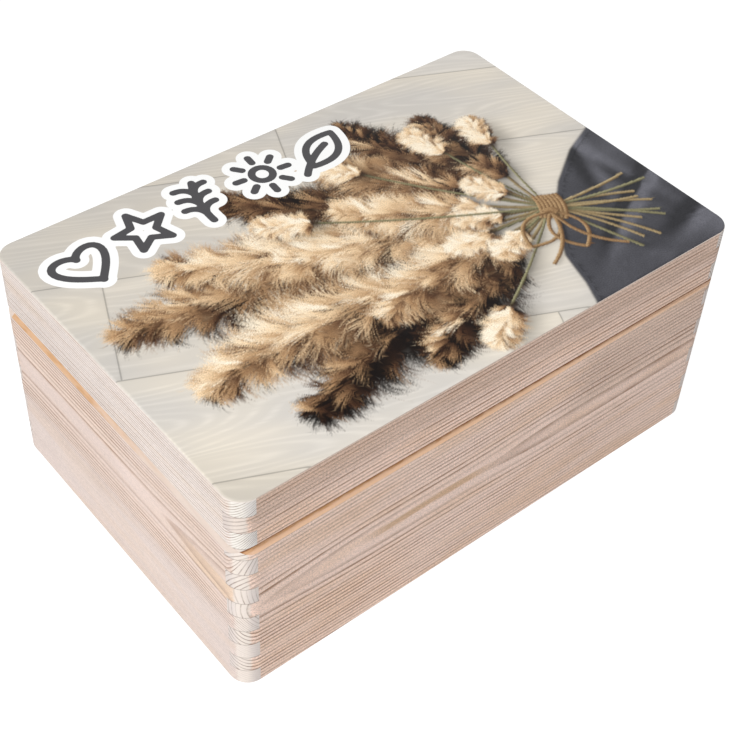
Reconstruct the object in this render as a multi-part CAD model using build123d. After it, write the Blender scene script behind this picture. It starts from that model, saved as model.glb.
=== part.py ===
from build123d import *
from math import atan2, degrees
import os

# A finger-jointed pine box with a hinged lid. Millimetres. +X runs along the box to the right, -Y is
# the front, +Z is up. The origin is on the ground, under the middle of the closed box.

# The closed box
box_length = 300.0
box_width = 198.0
box_height = 130.0
wall = 10.0
corner_radius = 10.0
seam_height = 97.5
top_arris = 1.2
bottom_arris = 0.8
rim_arris = 0.5

# Finger joints: the body was glued up whole, and the saw cut that freed the lid took out one kerf
finger_count = 13
saw_kerf = 2.6

# The V-groove round the seam: one chamfer on the base's rim and one on the lid's. The lid's front
# chamfer narrows towards the right end.
groove_rise = 3.0
groove_depth = 3.0
lid_front_right_rise = 1.0

# Plywood panels, each let into a rebate of the walls
bottom_thickness = 4.0
bottom_ledge = 5.0
top_thickness = 4.0
top_ledge = 5.0
panel_clearance = 0.1

# Butt hinges, let into the seam at the back
hinge_from_end = 60.0
hinge_length = 25.0
leaf_width = 6.6
leaf_thickness = 0.9
leaf_gap = 0.2
barrel_diameter = 3.8
barrel_sink = 0.1
knuckle_gap = 0.3
pin_diameter = 1.5
pin_clearance = 0.05
pin_stand_out = 0.4
pin_end_rounding = 0.3
leaf_clearance = 0.1
barrel_clearance = 0.35

# Countersunk screws, two through each leaf
screw_length = 8.5
screw_diameter = 1.6
screw_head_diameter = 3.1
screw_head_height = 0.7
screw_tip_length = 1.6
screw_tip_diameter = 0.4
screw_from_leaf_end = 5.0
screw_sink = 0.05
screw_clearance = 0.05
pilot_run_out = 0.5
drive_width = 0.4
drive_length = 1.7
drive_depth = 0.4

# Cutting tools reach this far past what they cut
overrun = 5.0

# Left and right, front and back
both_sides = (-1, 1)

inner_length = box_length - 2 * wall
inner_width = box_width - 2 * wall
finger_pitch = (box_height + saw_kerf) / finger_count
barrel_radius = barrel_diameter / 2
pivot_y = box_width / 2 - barrel_radius - barrel_sink
hinge_x = box_length / 2 - hinge_from_end
leaf_flat_start = barrel_radius + knuckle_gap
screw_y = -(leaf_width + leaf_flat_start) / 2
screw_x = hinge_length / 2 - screw_from_leaf_end
leaf_face = leaf_gap / 2


def block(x0, x1, y0, y1, z0, z1):
    """A box from its lowest to its highest corner."""
    return Pos((x0 + x1) / 2, (y0 + y1) / 2, (z0 + z1) / 2) * Box(x1 - x0, y1 - y0, z1 - z0)


def layer(length, width, z0, z1):
    """A rectangular block, centred on the box."""
    return block(-length / 2, length / 2, -width / 2, width / 2, z0, z1)


# Outer form and hollows

def closed_form():
    """The whole closed box with its rounded corners and softened arrises, still solid."""
    form = extrude(RectangleRounded(box_length, box_width, corner_radius), box_height)
    form = fillet(form.faces().sort_by(Axis.Z)[-1].edges(), top_arris)
    return fillet(form.faces().sort_by(Axis.Z)[0].edges(), bottom_arris)


def chamfer_wedge(span, face, rises, depths, toward):
    """What is cut from the rim along the face at -Y: toward is +1 above the seam and -1 below it.

    rises and depths hold the chamfer's size at the -X end and at the +X end.
    """
    ends = []
    for x, rise, depth in zip((-span / 2 - overrun, span / 2 + overrun), rises, depths):
        outer_rise = rise * (1 + overrun / depth)
        corners = (
            (x, -face + depth, seam_height),
            (x, -face - overrun, seam_height),
            (x, -face - overrun, seam_height + toward * outer_rise),
        )
        ends.append(make_face(Polyline(*corners, close=True)))
    return loft(ends, ruled=True)


def groove_cut(toward, front_rises):
    """The chamfers of one rim: front, right, back and left."""
    even = (groove_rise, groove_rise)
    depths = (groove_depth, groove_depth)
    front_depths = tuple(rise * groove_depth / groove_rise for rise in front_rises)
    cut = chamfer_wedge(box_length, box_width / 2, front_rises, front_depths, toward)
    cut += Rot(0, 0, 90) * chamfer_wedge(box_width, box_length / 2, even, depths, toward)
    cut += Rot(0, 0, 180) * chamfer_wedge(box_length, box_width / 2, even, depths, toward)
    cut += Rot(0, 0, 270) * chamfer_wedge(box_width, box_length / 2, even, depths, toward)
    return cut


def rim_softening(toward):
    """Breaks the inner arris of a rim at the seam."""
    mouth = Pos(0, 0, seam_height) * Rectangle(inner_length + 2 * rim_arris, inner_width + 2 * rim_arris)
    throat = Pos(0, 0, seam_height + toward * rim_arris) * Rectangle(inner_length, inner_width)
    return loft([mouth.face(), throat.face()], ruled=True)


def base_frame_form():
    """The four base walls as one form, before it is parted into boards."""
    form = closed_form() & layer(box_length + overrun, box_width + overrun, -overrun, seam_height)
    form -= layer(inner_length, inner_width, -overrun, seam_height + overrun)
    rebate_length = inner_length + 2 * bottom_ledge
    rebate_width = inner_width + 2 * bottom_ledge
    form -= layer(rebate_length, rebate_width, -overrun, bottom_thickness)
    form -= groove_cut(-1, (groove_rise, groove_rise))
    return form - rim_softening(-1)


def lid_frame_form():
    """The four lid walls as one form, before it is parted into boards."""
    top = box_height + overrun
    form = closed_form() & layer(box_length + overrun, box_width + overrun, seam_height, top)
    form -= layer(inner_length, inner_width, seam_height - overrun, top)
    rebate_length = inner_length + 2 * top_ledge
    rebate_width = inner_width + 2 * top_ledge
    form -= layer(rebate_length, rebate_width, box_height - top_thickness, top)
    form -= groove_cut(1, (groove_rise, lid_front_right_rise))
    return form - rim_softening(1)


# Finger joints

def short_board_fingers(z_low, z_high, from_top):
    """Heights of the fingers that belong to the left and right boards, within one part of the body.

    The base keeps the spacing counted up from the ground, the lid the spacing counted down from the top.
    """
    spans = []
    for index in range(0, finger_count, 2):
        low = index * finger_pitch
        if from_top:
            low = box_height - (finger_count - index) * finger_pitch
        low, high = max(low, z_low), min(low + finger_pitch, z_high)
        if high > low:
            spans.append((low, high))
    return spans


def corner_fingers(side_x, side_y, spans):
    """The left or right board's fingers at one corner of the box."""
    x0, x1 = sorted((side_x * inner_length / 2, side_x * box_length / 2))
    y0, y1 = sorted((side_y * inner_width / 2, side_y * box_width / 2))
    fingers = Part()
    for low, high in spans:
        fingers += block(x0, x1, y0, y1, low, high)
    return fingers


def long_board(form, side_y, z_low, z_high, spans):
    """The front or back board: a full-length slab, notched for the short boards' fingers."""
    y0, y1 = sorted((side_y * inner_width / 2, side_y * box_width / 2))
    slab = block(-box_length / 2, box_length / 2, y0, y1, z_low, z_high)
    for side_x in both_sides:
        slab -= corner_fingers(side_x, side_y, spans)
    return form & slab


def short_board(form, side_x, z_low, z_high, spans):
    """The left or right board: a slab between the long boards, with its own fingers at the corners."""
    x0, x1 = sorted((side_x * inner_length / 2, side_x * box_length / 2))
    slab = block(x0, x1, -inner_width / 2, inner_width / 2, z_low, z_high)
    for side_y in both_sides:
        slab += corner_fingers(side_x, side_y, spans)
    return form & slab


# Panels

def panel(ledge, z_low, z_high):
    """A plywood panel that fills its rebate, less the named clearance all round."""
    shrink = 2 * (ledge - panel_clearance)
    return layer(inner_length + shrink, inner_width + shrink, z_low, z_high)


# Hinges, drawn about their own pin: X along it, Z = 0 at the seam, -Y into the box.
# Each piece is drawn for the base side, and the lid side is its mirror image across the seam.

def along_pin(radius, x0, x1):
    return Pos((x0 + x1) / 2, 0, 0) * Rot(0, 90, 0) * Cylinder(radius, x1 - x0)


def knuckle_spans(of_base):
    """The base leaf has the two outer knuckles, the lid leaf the middle one."""
    knuckle_length = (hinge_length - 2 * knuckle_gap) / 3
    middle = knuckle_length / 2
    if not of_base:
        return [(-middle, middle)]
    inner = middle + knuckle_gap
    return [(-hinge_length / 2, -inner), (inner, hinge_length / 2)]


def screw_outline(extra):
    """The revolved shape of one screw, grown by extra, with its head's face on Z = 0."""
    head = screw_head_diameter / 2 + extra
    shank = screw_diameter / 2 + extra
    tip = screw_tip_diameter / 2 + extra
    shoulder = -screw_length + screw_tip_length
    profile = Polyline((0, 0), (head, 0), (shank, -screw_head_height), (shank, shoulder),
                       (tip, -screw_length), (0, -screw_length), close=True)
    return revolve(Plane.XZ * make_face(profile), Axis.Z)


def screw():
    """A countersunk screw with a cross recess."""
    body = screw_outline(0)
    body -= block(-drive_length / 2, drive_length / 2, -drive_width / 2, drive_width / 2, -drive_depth, overrun)
    body -= block(-drive_width / 2, drive_width / 2, -drive_length / 2, drive_length / 2, -drive_depth, overrun)
    return body


def screw_hole():
    """What one screw's countersunk hole takes out of a leaf, open above the head."""
    mouth = Cylinder(screw_head_diameter / 2 + screw_clearance, overrun,
                     align=(Align.CENTER, Align.CENTER, Align.MIN))
    return screw_outline(screw_clearance) + mouth


def screw_places():
    return [Pos(side * screw_x, screw_y, -leaf_face - screw_sink) for side in both_sides]


def hinge_leaf(of_base):
    """One leaf with its knuckles, bored for the pin and countersunk for the screws."""
    low, high = -leaf_face - leaf_thickness, -leaf_face
    leaf = block(-hinge_length / 2, hinge_length / 2, -leaf_width, -leaf_flat_start, low, high)
    for x0, x1 in knuckle_spans(of_base):
        leaf += block(x0, x1, -leaf_flat_start, 0, low, high)
        leaf += along_pin(barrel_radius, x0, x1)
    leaf -= along_pin(pin_diameter / 2 + pin_clearance, -hinge_length, hinge_length)
    for place in screw_places():
        leaf -= place * screw_hole()
    return leaf


def hinge_pin():
    """A plain pin with softened ends that stand out of the barrel."""
    reach = hinge_length / 2 + pin_stand_out
    pin = along_pin(pin_diameter / 2, -reach, reach)
    return fillet(pin.edges().filter_by(GeomType.CIRCLE), pin_end_rounding)


def leaf_screws():
    return [place * screw() for place in screw_places()]


def hinge_recess():
    """What one hinge takes out of the back board: leaf pocket, barrel recess and pilot holes."""
    half = hinge_length / 2 + leaf_clearance
    pocket_floor = -leaf_face - leaf_thickness
    recess = block(-half, half, -leaf_width - leaf_clearance, 0, pocket_floor, overrun)
    barrel_half = hinge_length / 2 + pin_stand_out + barrel_clearance
    recess += along_pin(barrel_radius + barrel_clearance, -barrel_half, barrel_half)
    pilot_depth = screw_length + pilot_run_out
    for place in screw_places():
        pilot = Cylinder(screw_diameter / 2 + screw_clearance, pilot_depth,
                         align=(Align.CENTER, Align.CENTER, Align.MAX))
        recess += place * pilot
    return recess


def at_hinge(side_x):
    return Pos(side_x * hinge_x, pivot_y, seam_height)


def mirrored(piece):
    """The same hinge piece on the lid's side of the seam."""
    return mirror(piece, about=Plane.XY)


# Assembly

base_form = base_frame_form()
lid_form = lid_frame_form()
for side in both_sides:
    base_form -= at_hinge(side) * hinge_recess()
    lid_form -= at_hinge(side) * mirrored(hinge_recess())

base_spans = short_board_fingers(0, seam_height, from_top=False)
lid_spans = short_board_fingers(seam_height, box_height, from_top=True)

nodes = {}
for name, side in (("front", -1), ("back", 1)):
    nodes[f"base_{name}_board"] = long_board(base_form, side, 0, seam_height, base_spans)
    nodes[f"lid_{name}_board"] = long_board(lid_form, side, seam_height, box_height, lid_spans)
for name, side in (("left", -1), ("right", 1)):
    nodes[f"base_{name}_board"] = short_board(base_form, side, 0, seam_height, base_spans)
    nodes[f"lid_{name}_board"] = short_board(lid_form, side, seam_height, box_height, lid_spans)
nodes["base_bottom_panel"] = panel(bottom_ledge, 0, bottom_thickness)
nodes["lid_top_panel"] = panel(top_ledge, box_height - top_thickness, box_height)

for name, side in (("left", -1), ("right", 1)):
    place = at_hinge(side)
    nodes[f"{name}_hinge_base_leaf"] = place * hinge_leaf(of_base=True)
    nodes[f"{name}_hinge_lid_leaf"] = place * mirrored(hinge_leaf(of_base=False))
    nodes[f"{name}_hinge_pin"] = place * hinge_pin()
    base_screws = [place * piece for piece in leaf_screws()]
    lid_screws = [place * mirrored(piece) for piece in leaf_screws()]
    nodes[f"{name}_hinge_base_screws"] = Compound(children=base_screws)
    nodes[f"{name}_hinge_lid_screws"] = Compound(children=lid_screws)

os.makedirs("parts", exist_ok=True)
for name, piece in nodes.items():
    piece.label = name
    export_step(piece, f"parts/{name}.step")

# The lid turns until the outer arrises of its back chamfer and the base's meet
arris_out = box_width / 2 - pivot_y
arris_contact = 2 * degrees(atan2(groove_rise, arris_out))
print(f"hinge axis at y {pivot_y:.2f}, z {seam_height:.2f}; back arrises meet at {arris_contact:.1f} degrees")
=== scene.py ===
import math
from dataclasses import dataclass

import bpy
import numpy as np
from mathutils import Matrix, Vector


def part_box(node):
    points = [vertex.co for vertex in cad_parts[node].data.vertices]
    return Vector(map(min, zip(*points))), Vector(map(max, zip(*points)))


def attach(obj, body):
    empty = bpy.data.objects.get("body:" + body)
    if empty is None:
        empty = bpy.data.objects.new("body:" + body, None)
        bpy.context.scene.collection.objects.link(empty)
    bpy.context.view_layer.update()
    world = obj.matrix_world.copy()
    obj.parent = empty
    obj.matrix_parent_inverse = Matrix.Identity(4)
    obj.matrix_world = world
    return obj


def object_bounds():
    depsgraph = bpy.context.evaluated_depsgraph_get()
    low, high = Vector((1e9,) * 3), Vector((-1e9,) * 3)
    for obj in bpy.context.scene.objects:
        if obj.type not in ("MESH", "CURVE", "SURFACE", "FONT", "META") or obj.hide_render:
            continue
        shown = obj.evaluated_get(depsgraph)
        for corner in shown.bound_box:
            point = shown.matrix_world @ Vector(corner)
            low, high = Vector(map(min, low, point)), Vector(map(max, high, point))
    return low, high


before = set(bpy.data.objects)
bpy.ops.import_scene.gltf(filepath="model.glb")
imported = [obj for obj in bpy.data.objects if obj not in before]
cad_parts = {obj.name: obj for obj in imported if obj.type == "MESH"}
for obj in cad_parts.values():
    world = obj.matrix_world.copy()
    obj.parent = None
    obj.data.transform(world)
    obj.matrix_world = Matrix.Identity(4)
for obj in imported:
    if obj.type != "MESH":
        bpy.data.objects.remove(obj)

# The looks of the wooden box: pine with its growth rings, plywood, brass and a printed lid. The wood is
# worked out in millimetres, in the box's frame at rest, and the scene itself is in metres.
MM = 0.001
CAD_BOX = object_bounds()
FRONT_LOW, FRONT_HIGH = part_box("base_front_board")

# The box's sizes in millimetres, read from the frame
HALF_LENGTH, _, TOP = CAD_BOX[1] / MM
HALF_WIDTH = -FRONT_LOW.y / MM
SEAM = FRONT_HIGH.z / MM
WALL = HALF_WIDTH + FRONT_HIGH.y / MM

# Sizes that the frame doesn't name: the fingers, the groove's chamfers, the arris and the upright corners
FINGER = 10.2
GROOVE = 3.0
ARRIS = 1.2
CORNER_RADIUS = 10.0


def linear(*shades):
    """An sRGB colour, in shades from 0 to 255, as the linear colour that a shader takes."""
    parts = [s / 255 for s in shades]
    return tuple(p / 12.92 if p < 0.04045 else ((p + 0.055) / 1.055) ** 2.4 for p in parts) + (1.0,)


# Fields: numbers that vary over a surface, joined by Python's own operators

def node_for(operation):
    """An operator that adds a Math node."""
    return lambda *values: maths(operation, *values)


class Field:
    """A node's output. An operator on it adds a Math node to its tree."""

    def __init__(self, tree, socket):
        self.tree = tree
        self.socket = socket

    __add__ = __radd__ = node_for("ADD")
    __mul__ = __rmul__ = node_for("MULTIPLY")
    __sub__ = node_for("SUBTRACT")
    __truediv__ = node_for("DIVIDE")
    __abs__ = node_for("ABSOLUTE")

    def __rsub__(self, other):
        return maths("SUBTRACT", other, self)


def wire(tree, value, socket):
    """Links a field to a socket, or writes a constant there."""
    if isinstance(value, Field):
        tree.links.new(value.socket, socket)
    else:
        socket.default_value = value


def output_of(tree, kind, inputs, output=0, **settings):
    """An output of a new node, whose inputs, by name or number, take fields or constants."""
    node = tree.nodes.new("ShaderNode" + kind)
    for name, setting in settings.items():
        setattr(node, name, setting)
    for key, value in inputs.items():
        wire(tree, value, node.inputs[key])
    return Field(tree, node.outputs[output])


def tree_of(values):
    return next(v.tree for v in values if isinstance(v, Field))


def maths(operation, *values):
    return output_of(tree_of(values), "Math", dict(enumerate(values)), operation=operation)


def either(operation, plain):
    """A function that adds a Math node where it gets a field, and is plain arithmetic elsewhere."""
    return lambda *values: (
        maths(operation, *values) if any(isinstance(v, Field) for v in values) else plain(*values)
    )


least = either("MINIMUM", min)
most = either("MAXIMUM", max)
power = either("POWER", pow)


def floor(value):
    return maths("FLOOR", value)


def from_whole(value):
    """How far a field is from the nearest whole number."""
    return abs(value - maths("ROUND", value))


def ramp(value, start, end, low=0.0, high=1.0):
    """Goes smoothly from low to high as the value goes from start to end."""
    inputs = dict(enumerate((value, start, end, low, high)))
    return output_of(value.tree, "MapRange", inputs, interpolation_type="SMOOTHSTEP")


def within(value, limit, blur):
    """1 below the limit and 0 past it, with an edge blurred so far to each side."""
    return ramp(value, limit - blur, limit + blur, 1, 0)


def blend(amount, first, second):
    """Mixes two colours, each a field or a constant."""
    # A Mix node's inputs 6 and 7 and its output 2 are its colours
    return output_of(amount.tree, "Mix", {"Factor": amount, 6: first, 7: second}, 2, data_type="RGBA")


def join(operation, first, second):
    """Adds or multiplies two colours, or scales one by a number."""
    inputs = {0: first, "Scale" if operation == "SCALE" else 1: second}
    return output_of(first.tree, "VectorMath", inputs, "Vector", operation=operation)


def vector(*parts):
    return output_of(tree_of(parts), "CombineXYZ", dict(enumerate(parts)))


def noise(place, detail=1.0):
    """Smooth noise from 0 to 1 with a grain of about one unit of place."""
    return output_of(place.tree, "TexNoise", {"Vector": place, "Scale": 1.0, "Detail": detail}, "Fac")


def lottery(number):
    """A random share from 0 to 1 for each whole number."""
    return output_of(number.tree, "TexWhiteNoise", {"W": number}, "Value", noise_dimensions="1D")


class Surface:
    """A material under construction: its node tree, its coordinates and its shader."""

    def __init__(self, name):
        self.material = bpy.data.materials.new(name)
        self.material.use_nodes = True
        self.tree = self.material.node_tree
        self.shader = self.tree.nodes["Principled BSDF"]

    def _coordinate(self, name):
        whole = output_of(self.tree, "TexCoord", {}, name)
        return [output_of(self.tree, "SeparateXYZ", {0: whole}, axis) for axis in range(3)]

    def place(self):
        """X, Y and Z in millimetres, in the box's frame at rest."""
        return [part / MM for part in self._coordinate("Object")]

    def facing(self):
        """How squarely the surface faces along X, Y and Z, to either side."""
        return [abs(part) for part in self._coordinate("Normal")]

    def attribute(self, name, output="Color"):
        return output_of(self.tree, "Attribute", {}, output, attribute_name=name)

    def finish(self, colour, roughness, metallic=0.0, specular=0.3, height=None, bump_mm=0.1):
        """Sets what the shader takes; height is a field whose unit stands bump_mm proud."""
        values = {"Base Color": colour, "Roughness": roughness, "Metallic": metallic}
        values["Specular IOR Level"] = specular
        if height is not None:
            values["Normal"] = output_of(self.tree, "Bump", {"Height": height, "Distance": bump_mm * MM})
        for name, value in values.items():
            wire(self.tree, value, self.shader.inputs[name])
        return self.material


def add_object(name, data):
    thing = bpy.data.objects.new(name, data)
    bpy.context.scene.collection.objects.link(thing)
    return thing


def dress(material, *nodes):
    """Gives the named CAD nodes a material."""
    for name in nodes:
        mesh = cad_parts[name].data
        mesh.materials.clear()
        mesh.materials.append(material)


# Pine

@dataclass
class Patch:
    """A stretch of a wall whose lines, brightness or tan differ, with soft edges, in millimetres along the
    grain and up.
    """
    middle: float
    height: float
    half_length: float
    half_height: float
    bolder: float = 0
    darker: float = 0
    tan: float = 0


@dataclass
class Tree:
    """How one wall's boards were cut from their tree, in millimetres.

    The rings run round a pith that lies along the grain, at a depth across the board and a height, and
    it rises along the grain. One dark ring is known by its radius. Rings inside the change radius are all
    as wide as the inner one; outside, they start at the outer width and widen. A step brings the surface
    nearer to the pith over a stretch of the grain: its start, its end and how far. The streak of brown
    is given by its start, its end, its height over the pith and its half width. The veins of tan are at
    most tan_veins strong, and the lines are faint below the height quiet_below.
    """
    seed: float
    pith_depth: float
    pith_height: float
    rise: float
    known_radius: float
    steps: tuple
    waver: float
    core: tuple
    early: tuple
    late: tuple
    tan: tuple
    streak: tuple
    lid_tint: tuple
    speckle: float
    patches: tuple
    grain: str = "X"
    change_radius: float = 30.0
    inner_ring: float = 1.9
    outer_ring: float = 2.1
    widening: float = 0.1
    tan_veins: float = 0.7
    quiet_below: float = -40


END_EARLY = linear(237, 226, 217)
END_LATE = linear(138, 110, 92)
END_SQUARE_TINT = (0.87, 0.87, 0.9)
STREAK = linear(202, 166, 132)
GROOVE_CREAM = linear(210, 195, 184)
GROOVE_RESIN = linear(206, 167, 128)
GROOVE_GUM = linear(190, 143, 92)
GROOVE_PEACH = linear(222, 183, 150)
GROOVE_AMBER = linear(214, 164, 116)
# The groove's burnt brown and dark brown are burn marks and painted shade together, deep under the lid's edge
GROOVE_BURNT_SHADE = linear(174, 122, 80)
GROOVE_DARK_SHADE = linear(146, 94, 54)
ARRIS_INKED = linear(186, 172, 162)
ARRIS_CLEAN = linear(218, 208, 200)
GLUE_LINE = linear(120, 96, 80)

# Shares of a ring's width: where its line starts, on long and on end grain, is darkest and starts to fade,
# and where the known radius lies
LINE_START = 0.38
END_LINE_START = 0.62
LINE_DARKEST = 0.88
LINE_FADES = 0.9
KNOWN_SHARE = 0.9

PATCH_BLUR = 15
PATCH_BLUR_UP = 2
STREAK_TAPER = 25
# How fully the groove takes its stains, burn marks and painted shade
STAIN_AND_SHADE_COVER = 0.9
ARRIS_COVER = 0.75
GLUE_COVER = 0.55


class Board:
    """One wall's wood under construction: its surface, its tree and where a place lies in them."""

    def __init__(self, name, tree):
        self.surface = Surface(name)
        self.tree = tree
        self.is_long = tree.grain == "X"
        self.x, self.y, self.z = self.surface.place()
        self.along, self.depth = (self.x, self.y) if self.is_long else (self.y, self.x)
        faces_x, faces_y, self.faces_up = self.surface.facing()
        self.faces_end = faces_x if self.is_long else faces_y

    def fibres(self, length, width, shift=0.0, detail=1.0):
        """Noise from 0 to 1, with fibres of that length and width along the grain."""
        along = self.along / length + (self.tree.seed + shift)
        return noise(vector(along, self.depth / width, self.z / width), detail)

    def ripple(self, *size, **options):
        """The same noise round 0."""
        return self.fibres(*size, **options) - 0.5

    def above_pith(self, height=0.0):
        """How far a place is above a line that runs so high over the pith."""
        return self.z - (self.along * self.tree.rise + (self.tree.pith_height + height))


def patch_shares(board):
    """How bold the lines are, how bright the wood is and its share of tan."""
    boldness = brightness = 1
    tan = ramp(board.fibres(70, 11, 21), 0.42, 0.68, 0, board.tree.tan_veins)
    for patch in board.tree.patches:
        inside = within(abs(board.along - patch.middle), patch.half_length, PATCH_BLUR)
        inside = inside * within(abs(board.z - patch.height), patch.half_height, PATCH_BLUR_UP)
        boldness = boldness + inside * patch.bolder
        brightness = brightness - inside * patch.darker
        tan = most(tan, inside * patch.tan)
    return boldness, brightness, tan


def ring_count(radius, tree):
    """How many rings lie between the change radius and this one, which may be a number or a field."""
    inside = least(radius - tree.change_radius, 0) / tree.inner_ring
    spread = 1 - tree.widening
    grown = power(most(radius / tree.change_radius, 1), spread) - 1
    return inside + grown * (tree.change_radius / tree.outer_ring / spread)


def ring_lines(board, boldness):
    """The dark latewood lines, from 0 to 1, on long grain and on end grain, and the rings' radius."""
    tree = board.tree
    up = board.above_pith()
    across = board.depth - tree.pith_depth
    radius = maths("SQRT", up * up + across * across)
    radius = radius + board.ripple(150, 30) * (4 * tree.waver) + board.ripple(35, 5, 3) * tree.waver
    for start, end, reach in tree.steps:
        radius = radius - ramp(board.along, start, end, 0, reach)
    count = ring_count(radius, tree) + (KNOWN_SHARE - ring_count(tree.known_radius, tree))
    ring = floor(count)
    share = count - ring

    # A line's strength differs from ring to ring and along the grain, and is least level with the pith
    strength = ramp(lottery(ring + tree.seed), 0, 1, 0.5, 1.0) * boldness
    strength = strength * ramp(board.fibres(60, 12, 7), 0.3, 0.7, 0.7, 1.1)
    strength = strength * ramp(board.fibres(9, 2, 23), 0.25, 0.75, 0.7, 1.15)
    strength = strength * ramp(abs(up) / radius, 0.0, 0.35, 0.5, 1.0)
    strength = strength * ramp(board.z, tree.quiet_below - 18, tree.quiet_below, 0.25, 1.0)
    strength = strength * ramp(share, LINE_FADES, 1.0, 1, 0)
    line = ramp(share, LINE_START, LINE_DARKEST) * strength
    end_line = ramp(share, END_LINE_START, LINE_DARKEST) * strength
    return line, end_line, radius


def long_grain(board, line, radius, tan):
    """The colour of the wood along its fibres."""
    tree = board.tree
    ground = blend(ramp(radius, tree.change_radius, tree.change_radius + 12), tree.core, tree.early)
    ground = blend(tan, ground, tree.tan)
    start, end, height, half_width = tree.streak
    from_streak = abs(board.above_pith(height)) + board.ripple(16, 1.5, 27) * half_width
    streak = ramp(from_streak, half_width * 0.4, half_width, 0.8, 0)
    streak = streak * ramp(board.along, start, start + STREAK_TAPER)
    streak = streak * ramp(board.along, end - STREAK_TAPER, end, 1, 0)
    ground = blend(streak, ground, STREAK)
    return blend(line, ground, tree.late)


def end_grain(board, end_line):
    """The colour where the saw went across the fibres: palest where it slants, duller where it is square."""
    colour = blend(end_line, END_EARLY, END_LATE)
    return blend(ramp(board.faces_end, 0.8, 1.0), colour, join("MULTIPLY", colour, END_SQUARE_TINT))


def stain_and_shade_groove(board, colour, end):
    """Colours the sawn groove, which is resinous on the short boards and browned on the long ones, with burn
    marks and painted shade deep under the lid's edge.
    """
    along = board.along
    past_face = most(abs(board.x) - HALF_LENGTH, abs(board.y) - HALF_WIDTH)
    slanting = ramp(board.faces_up, 0.3, 0.45) * ramp(board.faces_up, 0.85, 0.95, 1, 0)
    from_seam = abs(board.z - SEAM)
    groove = ramp(past_face, -GROOVE - 1, -GROOVE) * slanting
    groove = groove * ramp(from_seam, GROOVE + 0.1, GROOVE + 0.4, 1, 0)
    if not board.is_long:
        resin = ramp(along + board.ripple(15, 3, 17) * 50, -55, 45)
        gum = resin * ramp(board.fibres(8, 1.4, 19), 0.45, 0.7, 0, 0.7)
        stain_and_shade = blend(gum, blend(resin, GROOVE_CREAM, GROOVE_RESIN), GROOVE_GUM)
        return blend(groove * STAIN_AND_SHADE_COVER, colour, stain_and_shade)

    # Burn marks and painted shade: the groove's inner half, under the lid's edge, is browned, most towards
    # the right
    burnt_and_shaded = ramp(from_seam + board.ripple(5, 1.2, 9) * 1.8, 1.0, 1.9, 1, 0)
    scorch_and_shade = ramp(along + board.ripple(12, 3, 13) * 60, -110, 30)
    amber = blend(ramp(board.fibres(2.5, 0.8, 37), 0.5, 0.62, 0, 0.5), GROOVE_AMBER, GROOVE_BURNT_SHADE)
    stain_and_shade = blend(burnt_and_shaded, GROOVE_PEACH, blend(scorch_and_shade, amber, GROOVE_BURNT_SHADE))
    stain_and_shade = blend(end, stain_and_shade, GROOVE_CREAM)
    colour = blend(groove * ramp(along, 10, 120, STAIN_AND_SHADE_COVER, 0.6), colour, stain_and_shade)

    # Burn marks and painted shade: the dark crevice deep in the groove, under the lid's edge, widens towards
    # the right
    from_crevice = from_seam - ramp(along, -140, 140, 0, 0.9) + board.ripple(9, 1, 29) * 0.5
    crevice_shade = ramp(from_crevice, 0.6, 0.95, 1, 0) * (1 - end)
    return blend(groove * crevice_shade * STAIN_AND_SHADE_COVER, colour, GROOVE_DARK_SHADE)


def tint_arris(board, colour):
    """Colours the arris round the top, with a haze of ink on the long boards that fades to the right."""
    arris = ramp(board.z, TOP - ARRIS - 0.2, TOP - ARRIS + 0.1) * ramp(board.faces_up, 0.1, 0.35)
    tint = ARRIS_CLEAN
    if board.is_long:
        tint = blend(arris * ramp(board.along, 0, 130, 1, 0), ARRIS_CLEAN, ARRIS_INKED)
    return blend(arris * ARRIS_COVER, colour, tint)


def draw_glue(board, colour, in_lid):
    """Draws the fingers' glue lines, which the base counts from its foot and the lid from its top."""
    count = (board.z * (1 - in_lid) + (TOP - board.z) * in_lid) / FINGER
    corner = ramp(abs(board.x), HALF_LENGTH - WALL - 0.3, HALF_LENGTH - WALL - 0.2)
    corner = corner * ramp(abs(board.y), HALF_WIDTH - WALL - 0.3, HALF_WIDTH - WALL - 0.2)
    glue = corner * ramp(count, 0.3, 0.4) * ramp(from_whole(count) * FINGER, 0.1, 0.3, 1, 0)
    return blend(glue * GLUE_COVER, colour, GLUE_LINE)


def pine(name, tree):
    board = Board(name, tree)
    boldness, brightness, tan = patch_shares(board)
    line, end_line, radius = ring_lines(board, boldness)
    end = ramp(board.faces_end + board.ripple(2, 1.2, 2) * 0.2, 0.32, 0.52)
    in_lid = ramp(board.z, SEAM - 0.1, SEAM + 0.1)

    # Long grain is shaded by fibres, flecks, sanded grains and a slow change of tone
    fibre = board.ripple(14, 0.7, detail=2)
    fleck = ramp(board.fibres(3.5, 0.5, 5), 0.62, 0.76)
    speck = noise(vector(board.x / 0.6, board.y / 0.6, board.z / 0.45)) - 0.5
    shade = brightness + fibre * 0.24 + board.ripple(2.2, 0.4, 4) * 0.34 + board.ripple(90, 20, 11) * 0.12
    shade = shade - fleck * 0.1 + speck * 0.2 + board.ripple(0.95, 0.55, 31) * tree.speckle

    colour = blend(end, long_grain(board, line, radius, tan), end_grain(board, end_line))
    colour = join("SCALE", colour, shade * (1 - end) + (1 + speck * 0.16) * end)
    colour = blend(in_lid, colour, join("MULTIPLY", colour, tree.lid_tint))
    # The groove's stains, burn marks and painted shade under the lid's edge
    colour = stain_and_shade_groove(board, colour, end)
    colour = tint_arris(board, colour)
    colour = draw_glue(board, colour, in_lid)
    relief = line * 0.5 + fibre * 0.5
    roughness = ramp(line, 0, 1, 0.72, 0.6)
    return board.surface.finish(colour, roughness, specular=0.25, height=relief, bump_mm=0.08)


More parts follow.
